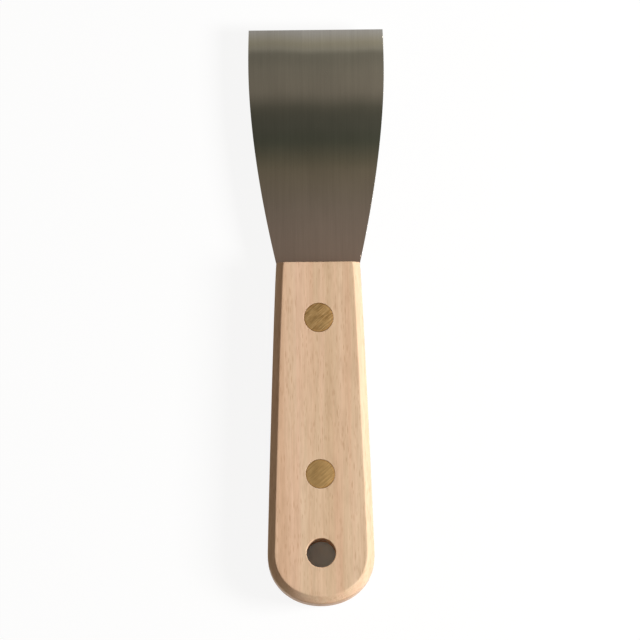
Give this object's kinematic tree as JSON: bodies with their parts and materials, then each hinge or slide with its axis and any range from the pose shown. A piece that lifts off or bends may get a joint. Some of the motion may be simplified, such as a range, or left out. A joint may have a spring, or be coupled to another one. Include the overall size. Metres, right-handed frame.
{
  "type": "putty knife",
  "caption": "Flexible putty knife: a wide taper-ground steel blade on a flat wooden handle with flush brass rivets and a hang hole.",
  "frame": {"origin": "on the back face's plane, under the middle of the knife's length and width, where it rests when it lies on its back", "axes": "+Y along the knife towards the working edge, +X across it, +Z out of the front face"},
  "size_m": [0.05, 0.2128, 0.0168],
  "materials": {
    "spring_steel": "fine ground satin",
    "beech": "sanded, clear sealed",
    "brass": "sanded flush"
  },
  "bodies": {
    "root": {"blade": "spring_steel", "front_scale": "beech", "back_scale": "beech", "blade_end_rivet_tube": "brass", "blade_end_rivet_post": "brass", "butt_end_rivet_tube": "brass", "butt_end_rivet_post": "brass"}
  },
  "joints": []
}
